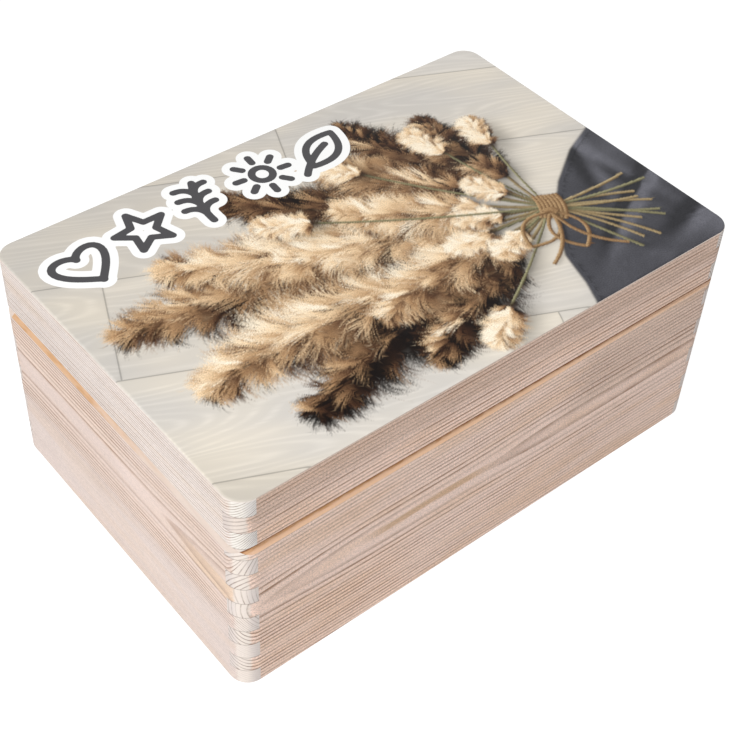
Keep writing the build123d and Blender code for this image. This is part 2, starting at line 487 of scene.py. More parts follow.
FRONT = Tree(
    seed=1.0, pith_depth=-119.3, pith_height=54.8, rise=-0.0155, known_radius=20.0,
    steps=((-160, -70, 1.9), (-25, 45, 1.0)), waver=0.16,
    core=linear(240, 215, 202), early=linear(242, 217, 203), late=linear(158, 121, 96),
    tan=linear(234, 203, 180), streak=(-88, 6, 1.5, 3.3), lid_tint=(0.93, 0.91, 0.9), speckle=1.1,
    # On the front the wood is darker along the top of the lid and towards the right, and lighter on the lid
    # just above the seam
    patches=(
        Patch(60, 115, 110, 12, bolder=0.3), Patch(-98, 84, 45, 8, bolder=-0.3, tan=0.2),
        Patch(-98, 22, 45, 22, bolder=0.3, darker=-0.04, tan=0.3),
        Patch(100, 22, 50, 22, bolder=-0.18, darker=0.04), Patch(100, 90, 50, 30, darker=0.07),
        Patch(0, 124, 170, 9, darker=0.12, tan=0.35), Patch(0, 104, 170, 5, darker=-0.1),
        Patch(100, 77, 50, 20, darker=0.09, tan=0.3),
    ),
)
LEFT = Tree(
    seed=2.0, pith_depth=-104.65, pith_height=68.5, rise=-0.027, known_radius=45.2,
    steps=((-25, -120, 1.15), (80, 112, 0.5)), waver=0.06,
    core=linear(225, 206, 197), early=linear(227, 212, 205), late=linear(170, 138, 118),
    tan=linear(225, 200, 178), streak=(-130, -60, 0, 0.1), lid_tint=(1.02, 1.08, 1.1), speckle=0.28,
    grain="Y", change_radius=45.0, outer_ring=0.85, widening=0.95, tan_veins=0.3, quiet_below=46,
    patches=(
        Patch(50, 84, 60, 10, bolder=0.7, darker=-0.05, tan=0.3),
        Patch(-60, 84, 50, 10, bolder=0.1, darker=-0.03, tan=0.15), Patch(-60, 60, 50, 14, darker=-0.05),
        Patch(30, 51, 100, 8, bolder=0.45, darker=-0.03, tan=0.2), Patch(40, 115, 60, 12, bolder=0.12),
        Patch(-60, 115, 50, 12, bolder=0.35, darker=-0.05), Patch(-80, 66, 24, 6, tan=1.0),
    ),
)
BACK = Tree(
    seed=3.0, pith_depth=128.0, pith_height=40.0, rise=0.02, known_radius=28.0,
    steps=((-60, 60, 1.2),), waver=0.2,
    core=linear(236, 210, 196), early=linear(240, 213, 197), late=linear(158, 122, 98),
    tan=linear(226, 192, 166), streak=(-40, 70, -1, 1.8), lid_tint=(0.96, 0.95, 0.94), speckle=0.9,
    patches=(Patch(-80, 70, 60, 12, bolder=-0.3, tan=0.2), Patch(90, 20, 60, 22, bolder=0.25, tan=0.2)),
)
RIGHT = Tree(
    seed=4.0, pith_depth=106.0, pith_height=82.0, rise=0.02, known_radius=43.6,
    steps=((20, 110, 1.3),), waver=0.08,
    core=linear(226, 202, 189), early=linear(228, 213, 204), late=linear(172, 140, 120),
    tan=linear(226, 202, 185), streak=(0, 80, 0, 0.8), lid_tint=(1.0, 1.03, 1.03), speckle=0.3,
    grain="Y", change_radius=43.0, outer_ring=0.9, widening=0.9, quiet_below=30,
    patches=(Patch(-40, 66, 60, 12, bolder=0.4, tan=0.4),),
)

for side, cut in (("front", FRONT), ("left", LEFT), ("back", BACK), ("right", RIGHT)):
    dress(pine(f"pine_{side}", cut), f"base_{side}_board", f"lid_{side}_board")


# Plywood, brass and steel

PLY = 1.5
PLY_PALE = linear(236, 216, 188)
PLY_WARM = linear(222, 194, 160)
PLY_DARK = linear(186, 150, 116)
VENEER_RINGS = 34


def plywood():
    surface = Surface("plywood")
    x, y, z = surface.place()
    faces_up = surface.facing()[2]
    wander = noise(vector(x / 160, y / 60, z / 40))
    figure = noise(vector(x / 240, y / 8, wander * 4), 3)
    fibre = noise(vector(x / 14, y / 0.7, z / 0.7), 2) - 0.5
    fine = noise(vector(x / 3, y / 0.35, 4)) - 0.5
    pore = ramp(noise(vector(x / 5, y / 0.5, 8)), 0.6, 0.74)

    # A peeled veneer cuts its rings at a flat angle, so they show as wide loops
    swell = noise(vector(x / 190, y / 52, z / 40 + 9)) + (noise(vector(x / 30, y / 4, 12)) - 0.5) * 0.02
    loops = swell * VENEER_RINGS
    share = loops - floor(loops)
    line = ramp(share, 0.2, 0.85) * ramp(share, 0.85, 1.0, 1, 0)
    face = blend(ramp(figure, 0.3, 0.7), PLY_PALE, PLY_WARM)
    face = blend(line * 0.3, face, PLY_DARK)
    edge = blend(ramp(from_whole(z / PLY), 0.2, 0.3), PLY_PALE, PLY_DARK)
    colour = blend(ramp(faces_up, 0.4, 0.6), edge, face)
    colour = join("SCALE", colour, 1 + fibre * 0.22 + fine * 0.3 - pore * 0.12)
    return surface.finish(colour, 0.65, specular=0.25, height=fibre, bump_mm=0.05)


def metal(name, colour, roughness):
    surface = Surface(name)
    x, y, z = surface.place()
    haze = noise(vector(x / 4, y / 4, z / 4), 3)
    brushed = noise(vector(x / 9, y / 0.3, z / 0.3))
    gloss = ramp(haze, 0.3, 0.7, roughness - 0.06, roughness + 0.08) + (brushed - 0.5) * 0.08
    dull = tuple(part * 0.7 for part in colour[:3]) + (1.0,)
    tint = blend(ramp(haze, 0.35, 0.75, 0, 0.35), colour, dull)
    return surface.finish(tint, gloss, metallic=1.0, specular=0.5, height=brushed, bump_mm=0.01)


dress(plywood(), "base_bottom_panel", "lid_top_panel")
brass = metal("brass", linear(222, 192, 124), roughness=0.34)
turned_brass = metal("turned_brass", linear(228, 198, 130), roughness=0.28)
steel = metal("steel", linear(196, 196, 198), roughness=0.3)
for hinge in ("left_hinge", "right_hinge"):
    dress(brass, f"{hinge}_base_leaf", f"{hinge}_lid_leaf")
    dress(turned_brass, f"{hinge}_base_screws", f"{hinge}_lid_screws")
    dress(steel, f"{hinge}_pin")


# The canvas of the print, a grid of fine pixels, and its brushes

PIXEL = 0.3
PRINT_SIZE = round(2 * HALF_LENGTH), round(2 * HALF_WIDTH)
LIGHT_FROM = np.array((-0.6, 0.8))
random = np.random.default_rng(7)


def soften(image, reach):
    """Blurs with three box filters of that half width, in pixels."""
    size = 2 * reach + 1
    for axis in (0, 1) * 3:
        margins = [(reach + 1, reach) if a == axis else (0, 0) for a in range(image.ndim)]
        total = np.pad(image, margins, "edge").cumsum(axis)
        whole = (slice(None),) * axis
        image = (total[*whole, size:] - total[*whole, :-size]) / size
    return image


def smooth_noise(shape, reach):
    """Cloudy noise round 0, with clouds of about that many pixels."""
    cloud = soften(random.normal(0, 1, shape), reach)
    return cloud / cloud.std()


def to_pixels(place):
    """A place in millimetres from the print's middle as a column and a row."""
    return (place + np.array(PRINT_SIZE) / 2) / PIXEL


class Canvas:
    """Paint over the planks: ink is what the paint sends back, veil is the share of plank that shows."""

    def __init__(self):
        columns, rows = (round(size / PIXEL) for size in PRINT_SIZE)
        self.ink = np.zeros((rows, columns, 3))
        self.veil = np.ones((rows, columns))
        self.x = (np.arange(columns) + 0.5) * PIXEL - PRINT_SIZE[0] / 2
        self.y = (np.arange(rows) + 0.5) * PIXEL - PRINT_SIZE[1] / 2

    def window(self, points, margin):
        """The pixel rows and columns round some points."""
        corners = to_pixels(np.array((points.min(0) - margin, points.max(0) + margin)))
        (x0, y0), (x1, y1) = np.clip(corners, 0, self.veil.shape[::-1]).astype(int)
        return slice(y0, y1), slice(x0, x1)

    def grid(self, window):
        """The places of a window's pixels, in millimetres."""
        return np.meshgrid(self.x[window[1]], self.y[window[0]])

    def read(self, image, x, y):
        """An image's values at some places, between its pixels."""
        rows, columns = image.shape[:2]
        u = np.clip((x - self.x[0]) / PIXEL, 0, columns - 1.001)
        v = np.clip((y - self.y[0]) / PIXEL, 0, rows - 1.001)
        i, j = u.astype(int), v.astype(int)
        s, t = u - i, v - j
        if image.ndim == 3:
            s, t = s[:, None], t[:, None]
        low = image[j, i] * (1 - s) + image[j, i + 1] * s
        high = image[j + 1, i] * (1 - s) + image[j + 1, i + 1] * s
        return low * (1 - t) + high * t

    def cells(self, window, points):
        """The window's cells that points lie in, and which points lie inside the window."""
        rows, columns = window
        cell = to_pixels(points).astype(int) - (columns.start, rows.start)
        return cell, ((cell >= 0) & (cell < (columns.stop - columns.start, rows.stop - rows.start))).all(1)

    def lay(self, window, cover, colour):
        """Lays paint of a colour over a window, as far as it covers."""
        touched = cover > 0.002
        cover = cover[touched]
        colour = colour[touched] if colour.ndim == 3 else colour
        ink, veil = self.ink[window], self.veil[window]
        ink[touched] = ink[touched] * (1 - cover)[:, None] + cover[:, None] * colour ** 2.2
        veil[touched] *= 1 - cover

    def drop_shadow(self, window, cover, reach, strength, shift):
        """Casts the shadow of what is laid next, moved away from the light."""
        step = round(shift / PIXEL)
        moved = np.pad(cover, ((0, step), (step, 0)), "edge")[step:, :cover.shape[1]]
        amount = np.clip(soften(moved, round(reach / PIXEL)) * strength, 0, 1)
        self.ink[window] *= (1 - amount)[..., None]
        self.veil[window] *= 1 - amount

    def strokes(self, window, paths, colours, weight):
        """Lays strokes side by side: paths as (stroke, point, xy), colours as (stroke, point, rgb)."""
        cell, inside = self.cells(window, paths.reshape(-1, 2))
        shape = self.veil[window].shape
        index = cell[inside, 1] * shape[1] + cell[inside, 0]
        weight = np.broadcast_to(weight, paths.shape[:2]).reshape(-1)[inside]
        colours = colours.reshape(-1, 3)[inside]
        layers = [weight, *(weight * colours[:, k] for k in range(3))]
        total = np.array([np.bincount(index, layer, shape[0] * shape[1]) for layer in layers])
        cover = (1 - np.exp(-total[0])).reshape(shape)
        colour = (total[1:] / np.maximum(total[0], 1e-6)).T.reshape(*shape, 3)
        self.lay(window, cover, colour)


def bend(start, end, sag, count=60):
    """A bowed path from start to end."""
    start, end = np.array(start, float), np.array(end, float)
    t = np.linspace(0, 1, count)[:, None]
    across = np.array((-(end - start)[1], (end - start)[0]))
    return start + (end - start) * t + across * sag * 4 * t * (1 - t)


def aim(start, angle, distance):
    """The place so far from start, at an angle in degrees."""
    a = math.radians(angle)
    return np.array(start) + distance * np.array((math.cos(a), math.sin(a)))


def directions(path):
    """Unit steps along a path and across it."""
    step = np.gradient(path, axis=0)
    ahead = step / np.linalg.norm(step, axis=1, keepdims=True)
    return ahead, np.stack((-ahead[:, 1], ahead[:, 0]), 1)


def paint_band(canvas, path, width, dark, light, twist=0.0):
    """A round stem or cord, lit along one side; twist marks its strands every so many millimetres."""
    length = np.linalg.norm(np.diff(path, axis=0), axis=1).sum()
    steps = int(length / PIXEL * 1.6)
    t = np.linspace(0, 1, steps)
    fine = np.stack([np.interp(t, np.linspace(0, 1, len(path)), path[:, k]) for k in (0, 1)], 1)
    _, across = directions(fine)
    offsets = np.linspace(-0.5, 0.5, max(3, round(width / PIXEL * 2)))
    paths = fine[None] + across[None] * offsets[:, None, None] * width
    lit = 0.5 + (across @ LIGHT_FROM)[None] * offsets[:, None] * 1.1 - np.abs(offsets[:, None]) * 0.4
    lit = lit + random.normal(0, 0.06, steps)[None]
    if twist:
        phase = t[None] * length / twist + offsets[:, None] * 0.9
        lit = lit * (0.72 + 0.4 * np.abs(np.sin(phase * np.pi)))
    lit = np.clip(lit, 0, 1)[..., None]
    window = canvas.window(fine, width + 6)
    spot = np.zeros(canvas.veil[window].shape)
    cell, inside = canvas.cells(window, fine)
    spot[cell[inside, 1], cell[inside, 0]] = width / PIXEL
    canvas.drop_shadow(window, soften(spot, max(1, round(width / PIXEL / 2))), 0.5, 0.5, 1.0)
    canvas.strokes(window, paths, dark * (1 - lit) + light * lit, 2.0)


# The print's picture: dried grasses tied with twine, over a corner of dark cloth

# The grasses' colours, from deep shadow to full light, and each band's dark and light side
TONES = np.array(((16, 9, 7), (74, 50, 36), (178, 140, 102), (244, 213, 172), (255, 242, 218))) / 255
STRAW = np.array(((112, 92, 62), (222, 202, 158))) / 255
GREEN_STRAW = np.array(((92, 86, 62), (186, 182, 142))) / 255
TWINE = np.array(((104, 76, 50), (214, 178, 132))) / 255
CHARCOAL = np.array((74, 74, 79)) / 255

CLOTH = ((52, -104), (60, -86), (66, -66), (84, -40), (104, -22), (128, -6), (156, 6), (156, -104))
# Where a fold starts, its angle, its height and its width
FOLDS = (
    (96, -70, 28, 5, 4), (118, -40, 70, 4, 5), (128, -84, 8, 6, 6),
    (80, -60, -50, 3, 4), (140, -60, 100, 4, 5),
)
THREAD = 0.9

TIE = (86.0, -34.0)
STEM_ANGLES = (-72, -58, -47, -38, -30, -21, -12, -3, -64, -42, -26)
# The plumes from the lowest to the topmost: angle from the tie, distance, length, width and light
PLUMES = (
    (197, 64, 118, 34, -0.3), (108, 40, 80, 27, -0.28), (171, 92, 130, 36, -0.06), (140, 62, 100, 31, -0.3),
    (184, 84, 122, 36, 0.12), (90, 30, 62, 24, -0.2), (155, 76, 116, 35, 0.13), (124, 42, 80, 30, 0.0),
    (207, 40, 84, 27, -0.22), (166, 44, 96, 32, 0.2), (190, 34, 80, 29, 0.06), (143, 34, 70, 28, 0.16),
)
# The hare's tails: angle from the tie, distance, length and width
TAILS = (
    (213, 78, 25, 16), (177, 36, 24, 15), (157, 24, 22, 15), (101, 66, 24, 15), (128, 96, 25, 16),
    (150, 118, 26, 16), (196, 24, 21, 14), (116, 22, 20, 14), (78, 56, 23, 15),
)
HAIRS = 26


def tone(level):
    """The grasses' colour at a level from 0, deep shadow, to 1, full light."""
    steps = np.linspace(0, 1, len(TONES))
    return np.stack([np.interp(level, steps, TONES[:, k]) for k in range(3)], -1)


def plume_shape(t):
    """How wide a pampas plume is along its length, from its base at 0 to its tip at 1."""
    return 0.12 + np.clip(np.sin(np.pi * np.clip(t, 0, 1) ** 0.75), 0, 1) ** 0.9


def tail_shape(t):
    """The plumper outline of a hare's-tail head."""
    return np.sqrt(np.clip(1 - (2 * t - 0.9) ** 2 * 0.8, 0.05, 1))


@dataclass
class Head:
    """A kind of seed head. Its hairs' length, fur, is a share of its width."""
    layers: int
    tufts: int
    lean: float
    fur: float
    outline: object


PAMPAS = Head(layers=22, tufts=16, lean=0.72, fur=0.48, outline=plume_shape)
HARES_TAIL = Head(layers=16, tufts=14, lean=0.55, fur=0.45, outline=tail_shape)


def paint_tufts(canvas, window, head, spine, width, light, layer):
    """One layer of a seed head's tufts, each a fan of curling hairs."""
    tufts = head.tufts
    fur = width * head.fur
    height = layer / (head.layers - 1)
    t = random.uniform(0, 1, tufts) ** 0.9
    t = np.sort(t)[::-1] if layer % 2 else t
    k = (t * (len(spine) - 1)).astype(int)
    side = random.uniform(-1, 1, tufts)
    reach = width * 0.5 * head.outline(t)
    ahead, across = (step[k] for step in directions(spine))
    foot = spine[k] + across * (side * reach * 0.55 * (1 - 0.3 * height))[:, None]
    angle = np.arctan2(ahead[:, 1], ahead[:, 0]) + side * head.lean + random.normal(0, 0.16, tufts)
    length = fur * (0.55 + 0.65 * reach / (width * 0.5)) * random.uniform(0.7, 1.15, tufts)
    facing = (across @ LIGHT_FROM) * side
    level = 0.62 * height + 0.32 * facing + light - 0.05 + random.normal(0, 0.16, tufts)

    points = max(12, int(fur / PIXEL * 1.1))
    s = np.linspace(0, 1, points)
    jitter = random.normal(0, 1, (tufts, HAIRS, 3))
    start = foot[:, None] + across[:, None] * jitter[..., :1] * fur * 0.07
    turn = angle[:, None] + jitter[..., 1] * 0.13 + jitter[..., 0] * 0.1 * np.sign(side)[:, None]
    curl = (side * 0.7 + random.normal(0, 0.5, tufts))[:, None] + jitter[..., 2] * 0.15
    heading = turn[..., None] + curl[..., None] * s ** 1.5
    step = (length[:, None] * (1 + 0.15 * jitter[..., 2]))[..., None] / points
    path = np.stack((np.cos(heading), np.sin(heading)), -1) * step[..., None]
    path = start[:, :, None] + path.cumsum(2)
    shine = level[:, None, None] - 0.16 + 0.3 * s + 0.05 * jitter[..., 2:3]
    colours = tone(np.clip(shine, 0, 1))
    fade = np.clip(0.05 + 3 * s, 0, 1) * np.clip(4 - 4 * s, 0.3, 1) * 0.8
    canvas.strokes(window, path.reshape(-1, points, 2), colours.reshape(-1, points, 3), fade)


def paint_head(canvas, head, spine, width, light):
    """A fluffy seed head, laid in layers from its shaded depth to its lit top."""
    window = canvas.window(spine, width * 1.1 + 8)
    x, y = canvas.grid(window)
    body = np.zeros(x.shape)
    for k in range(0, len(spine), 3):
        reach = width * 0.5 * head.outline(k / (len(spine) - 1)) + 0.1
        gap = np.hypot(x - spine[k, 0], y - spine[k, 1]) / reach
        body = np.maximum(body, np.clip(1.6 - 1.6 * gap, 0, 1))
    canvas.drop_shadow(window, body, 4.5, 0.75, 5.0)
    canvas.lay(window, soften(body, 3) ** 1.5 * 0.9, tone(np.array(0.06 + light * 0.3)))
    for layer in range(head.layers):
        paint_tufts(canvas, window, head, spine, width, light, layer)


def shape_mask(canvas, outline, window):
    """1 inside a closed outline, else 0."""
    x, y = canvas.grid(window)
    inside = np.zeros(x.shape, bool)
    for (ax, ay), (bx, by) in zip(outline, np.roll(outline, -1, 0)):
        crosses = (ay > y) != (by > y)
        with np.errstate(divide="ignore", invalid="ignore"):
            inside ^= crosses & (x < (bx - ax) * (y - ay) / (by - ay) + ax)
    return inside.astype(float)


def paint_cloth(canvas):
    """A charcoal linen cloth with soft folds, a turned hem and a woven face."""
    outline = np.array(CLOTH, float)
    window = canvas.window(outline, 12)
    mask = soften(shape_mask(canvas, outline, window), 1)
    canvas.drop_shadow(window, mask, 3.0, 0.5, 3.0)
    x, y = canvas.grid(window)
    relief = smooth_noise(mask.shape, 26) * 0.5
    for px, py, angle, height, width in FOLDS:
        a = math.radians(angle)
        off = (x - px) * -math.sin(a) + (y - py) * math.cos(a) + smooth_noise(mask.shape, 40) * 1.2
        along = (x - px) * math.cos(a) + (y - py) * math.sin(a)
        relief = relief + height * np.exp(-(off / width) ** 2) / (1 + np.exp(-along / 9))
    slope_y, slope_x = np.gradient(soften(relief, 3), PIXEL)
    lit = 1 + np.clip((slope_x * -LIGHT_FROM[0] + slope_y * -LIGHT_FROM[1]) * -1.5, -0.5, 0.8)
    hem = soften(mask, 6)
    lit = lit * (1 - 0.35 * np.exp(-((hem - 0.93) / 0.03) ** 2))
    weave = 0.06 * np.sin(x * 2 * np.pi / THREAD) * np.sin(y * 2 * np.pi / THREAD)
    weave = 1 + weave + random.normal(0, 0.05, x.shape)
    lit = np.clip(lit * weave, 0.3, 2.0)[..., None]
    canvas.lay(window, mask, np.clip(CHARCOAL * lit ** 0.6, 0, 1))


def lay_twine(canvas, path, width=1.8):
    paint_band(canvas, path, width, *TWINE, twist=1.6)


def tie_twine(canvas):
    """Twine round the stems, and its bow: two loops, two ends and the knot."""
    for turn in range(7):
        middle = aim(TIE, 148, 6 - turn * 2.0)
        half = 8.5 + 0.25 * turn
        lay_twine(canvas, bend(aim(middle, 62, half), aim(middle, 242, half), 0.1), 2.0)
    knot = aim(TIE, 242, 4)
    for angle, sag in ((208, 0.3), (262, -0.3)):
        loop = aim(knot, angle, 30)
        lay_twine(canvas, bend(knot, loop, sag))
        lay_twine(canvas, bend(loop, knot, sag))
    for angle, reach, sag in ((228, 40, 0.12), (290, 42, -0.14)):
        lay_twine(canvas, bend(knot, aim(knot, angle, reach), sag))
    lay_twine(canvas, bend(aim(knot, 150, 3), aim(knot, 330, 3), 0.2), 4.0)


def paint_print():
    canvas = Canvas()
    paint_cloth(canvas)
    for k, angle in enumerate(STEM_ANGLES):
        foot = aim(TIE, angle, 52 + 6 * math.sin(k * 2.3))
        paint_band(canvas, bend(TIE, foot, 0.04 * math.sin(k * 1.7)), 1.5, *(STRAW if k % 3 else GREEN_STRAW))
    for angle, near, length, width, light in PLUMES:
        base = aim(TIE, angle, near)
        paint_band(canvas, bend(TIE, base, 0.03), 1.6, *STRAW)
        sag = 0.05 if angle < 160 else -0.05
        tip = aim(base, angle + sag * 100, length)
        paint_head(canvas, PAMPAS, bend(base, tip, sag), width, light)
    for angle, near, length, width in TAILS:
        base = aim(TIE, angle, near)
        paint_band(canvas, bend(TIE, base, 0.02), 1.1, *GREEN_STRAW)
        paint_head(canvas, HARES_TAIL, bend(base, aim(base, angle, length), 0.04), width, light=0.3)
    tie_twine(canvas)
    return canvas


# The print's hand-drawn marks

MARK_TURNS = (10, 4, -4, -6, -12)
MARK_FAR = 20.0
MARK_LINE = 2.0
MARK_HALO = 6.0


def curve(shape, count=48):
    """A shape's places over a full turn."""
    return np.array([shape(a) for a in np.linspace(0, 2 * math.pi, count)])


def mark_paths():
    """Hand-drawn marks, each round its own middle: a heart, a star, a sprig, a sun and a leaf."""
    heart = curve(lambda a: (
        14 * math.sin(a) ** 3,
        11.5 * math.cos(a) - 4.6 * math.cos(2 * a) - 1.8 * math.cos(3 * a),
    ))
    radii = (14.5, 6.4)
    turns = [k * math.pi / 5 for k in range(11)]
    star = np.array([(radii[k % 2] * math.sin(a), radii[k % 2] * math.cos(a)) for k, a in enumerate(turns)])
    stem = bend((-3, -16), (2, 15), 0.06, 25)
    leaves = [
        bend(stem[k], stem[k] + (8.5 * side, 6.5), 0.2 * side, 8)
        for k in (5, 11, 17) for side in (-1, 1)
    ]
    sun = [curve(lambda a: (5.4 * math.cos(a), 5.4 * math.sin(a)), 32)]
    for k in range(8):
        a = k * math.pi / 4
        sun.append(np.outer((10.6, 15.0), (math.cos(a), math.sin(a))))
    leaf = np.concatenate((bend((-9, -10), (11, 13), 0.27), bend((11, 13), (-9, -10), 0.27)))
    midrib = bend((-15, -15), (4, 5), 0.06, 12)
    return [heart], [star], [stem, *leaves], sun, [leaf, midrib]


def distance_to(path, x, y):
    """How far each place is from a path."""
    nearest = np.full(x.shape, np.inf)
    for (ax, ay), (bx, by) in zip(path[:-1], path[1:]):
        dx, dy = bx - ax, by - ay
        along = np.clip(((x - ax) * dx + (y - ay) * dy) / (dx * dx + dy * dy + 1e-9), 0, 1)
        nearest = np.minimum(nearest, np.hypot(x - ax - along * dx, y - ay - along * dy))
    return nearest


def paint_marks(canvas):
    """The marks' field: how far each place is from the nearest drawn line."""
    field = np.full(canvas.veil.shape, MARK_FAR)
    for k, (paths, degrees) in enumerate(zip(mark_paths(), MARK_TURNS)):
        middle = np.array((-121 + 36 * k, 64 + 6 * k - 1.2 * k * k))
        turn = math.radians(degrees)
        spin = np.array(((math.cos(turn), -math.sin(turn)), (math.sin(turn), math.cos(turn))))
        for path in paths:
            path = path @ spin.T + middle
            window = canvas.window(path, 12)
            field[window] = np.minimum(field[window], distance_to(path, *canvas.grid(window)))
    return field


# The film that carries the print: fine cells under the painted parts, coarse blocks elsewhere

FILM_HALF = (HALF_LENGTH - ARRIS, HALF_WIDTH - ARRIS)
FILM_RADIUS = CORNER_RADIUS - ARRIS
FILM_LOW, FILM_HIGH = 0.006, 0.03
BLOCKS = (112, 74)
CELLS = 4
CORNER_BLOCKS = 4
MOST_FINE_BLOCKS = 5350
LEAST_DETAIL = 0.004
# Over the arris the film follows its curve, out and back again underneath: degrees turned, lift off the wood
FILM_WRAP = [(turn, FILM_HIGH) for turn in (18, 35, 52)] + [(turn, FILM_LOW) for turn in (52, 35, 18, 0)]


def film_place(column, row):
    """The place on the lid of a cell corner: the grid's square corners are drawn in to quarter circles."""
    x, y = [(step / (n * CELLS) * 2 - 1) * half for step, n, half in zip((column, row), BLOCKS, FILM_HALF)]
    past_x, past_y = [
        np.maximum(np.abs(place) - (half - FILM_RADIUS), 0) / FILM_RADIUS
        for place, half in zip((x, y), FILM_HALF)
    ]
    inward_x = np.sign(x) * past_x * FILM_RADIUS * (1 - np.sqrt(1 - past_y ** 2 / 2))
    inward_y = np.sign(y) * past_y * FILM_RADIUS * (1 - np.sqrt(1 - past_x ** 2 / 2))
    return x - inward_x, y - inward_y


def fine_blocks(canvas, marks):
    """Which blocks are split into fine cells: those with the most detail, and the rounded corners."""
    tones = np.sqrt(canvas.ink[..., 1])
    detail = np.abs(np.gradient(canvas.veil)).sum(0) + np.abs(np.gradient(soften(tones, 1))).sum(0) * 2
    # The fine cells reach 8.6 mm out from the marks' lines, past their outlines
    detail = soften(detail + (np.abs(marks - 4.4) < 4.2) * 1.0, 2)
    column, row = np.meshgrid(np.arange(BLOCKS[0]), np.arange(BLOCKS[1]), indexing="ij")
    x, y = film_place((column + 0.5) * CELLS, (row + 0.5) * CELLS)
    weight = canvas.read(soften(detail, 3), x.ravel(), y.ravel())
    limit = max(np.sort(weight)[-MOST_FINE_BLOCKS], LEAST_DETAIL)
    fine = (weight > limit).reshape(BLOCKS)
    ends = range(-CORNER_BLOCKS, CORNER_BLOCKS)
    fine[np.ix_(ends, ends)] = True
    return fine


def film_faces(fine):
    """The faces over the grid's corners, as lists of (column, row); fine says which blocks are split."""
    faces = []
    across, down = BLOCKS
    for i in range(across):
        for j in range(down):
            x, y = i * CELLS, j * CELLS
            if fine[i, j]:
                for a in range(x, x + CELLS):
                    for b in range(y, y + CELLS):
                        faces.append(((a, b), (a + 1, b), (a + 1, b + 1), (a, b + 1)))
                continue
            # A coarse block takes its fine neighbours' corners into its own edges
            outline = []
            for dx, dy in ((1, 0), (0, 1), (-1, 0), (0, -1)):
                a, b = i + dy, j - dx
                split = 0 <= a < across and 0 <= b < down and fine[a, b]
                outline += [(x + dx * k, y + dy * k) for k in (range(CELLS) if split else (0,))]
                x, y = x + dx * CELLS, y + dy * CELLS
            faces.append(tuple(outline))
    return faces


def find_rim(faces):
    """The corners round the outside of some faces, in order."""
    edges = dict.fromkeys(edge for face in faces for edge in zip(face, face[1:] + face[:1]))
    following = {a: b for a, b in edges if (b, a) not in edges}
    rim = [next(iter(following))]
    while following[rim[-1]] != rim[0]:
        rim.append(following[rim[-1]])
    return rim


def wrap_film(x, y, faces):
    """Adds the faces over the arris and underneath, and gives the places of all corners."""
    ring = find_rim(faces)
    places = [np.stack((x, y, np.full(len(x), TOP + FILM_HIGH)), 1)]
    edge = places[0][ring, :2]
    core = np.array(FILM_HALF) - FILM_RADIUS
    outward = edge - np.clip(edge, -core, core)
    outward = outward / np.linalg.norm(outward, axis=1, keepdims=True)
    count = len(x)
    for degrees, lift in FILM_WRAP:
        turn = math.radians(degrees)
        radius = ARRIS + lift
        height = np.full((len(ring), 1), TOP - ARRIS + radius * math.cos(turn))
        places.append(np.hstack((edge + outward * radius * math.sin(turn), height)))
        inner = list(range(count, count + len(ring)))
        for a, b, c, d in zip(ring, ring[1:] + ring[:1], inner[1:] + inner[:1], inner):
            faces.append([b, a, d, c])
        ring = inner
        count += len(ring)
    faces.append(ring[::-1])
    return np.concatenate(places)


def lay_film(canvas, marks):
    """The print as a closed film on the lid, with the paint and the marks' field on its corners."""
    corners = {}
    faces = []
    for outline in film_faces(fine_blocks(canvas, marks)):
        faces.append([corners.setdefault(corner, len(corners)) for corner in outline])
    column, row = np.array(list(corners), float).T
    places = wrap_film(*film_place(column, row), faces)
    x, y = places[:, 0], places[:, 1]

    mesh = bpy.data.meshes.new("print")
    mesh.from_pydata((places * MM).tolist(), [], faces)
    paint = mesh.color_attributes.new("ink", "FLOAT_COLOR", "POINT")
    values = np.concatenate((canvas.read(canvas.ink, x, y), canvas.read(canvas.veil, x, y)[:, None]), 1)
    paint.data.foreach_set("color", values.astype(np.float32).ravel())
    field = mesh.attributes.new("from_mark", "FLOAT", "POINT")
    field.data.foreach_set("value", canvas.read(marks, x, y).astype(np.float32))
    mesh.materials.append(print_material())
    film = add_object("lid_print", mesh)
    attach(film, "lid")


# The print's material

PLANK_TURN = math.radians(-24)
PLANK_WIDTH = 66.0
PLANK_LENGTH = 420.0
PLANK_COOL = linear(214, 209, 202)
PLANK_WARM = linear(232, 223, 208)
MARK_WHITE = linear(252, 252, 251)
MARK_CHARCOAL = linear(80, 79, 81)
MARK_BLUR = 0.15


def planks(x, y):
    """The printed planks' colour, and their shade with the gaps between them."""
    along = x * math.cos(PLANK_TURN) + y * math.sin(PLANK_TURN)
    across = y * math.cos(PLANK_TURN) - x * math.sin(PLANK_TURN) + 400
    plank = floor(across / PLANK_WIDTH)
    # Each row of planks is shifted by luck
    along = along + lottery(plank + 0.5) * 700 + 2000
    chance = lottery(plank * 17 + floor(along / PLANK_LENGTH) + 3.5)

    def streaks(length, width, shift, detail=2):
        return noise(vector(along / length + chance * 40, across / width, shift), detail)

    grain = streaks(60, 5, 1) * 0.55 + streaks(24, 1.6, 2) * 0.45
    rings = ramp(from_whole(streaks(170, 26, 4, 0.5) * 22), 0.12, 0.5)
    shade = 1.0 + (grain - 0.5) * 0.24 + (chance - 0.5) * 0.07
    shade = shade + (rings - 0.5) * ramp(grain, 0.4, 0.6, 0.03, 0.1)
    side = from_whole(across / PLANK_WIDTH) * PLANK_WIDTH
    end = from_whole(along / PLANK_LENGTH) * PLANK_LENGTH
    gap = least(side, end)
    shade = shade * ramp(gap, 0.2, 0.5, 0.66, 1.0) * ramp(gap, 0.3, 1.6, 0.95, 1.0)
    return blend(ramp(streaks(90, 40, 3), 0.3, 0.7), PLANK_COOL, PLANK_WARM), shade


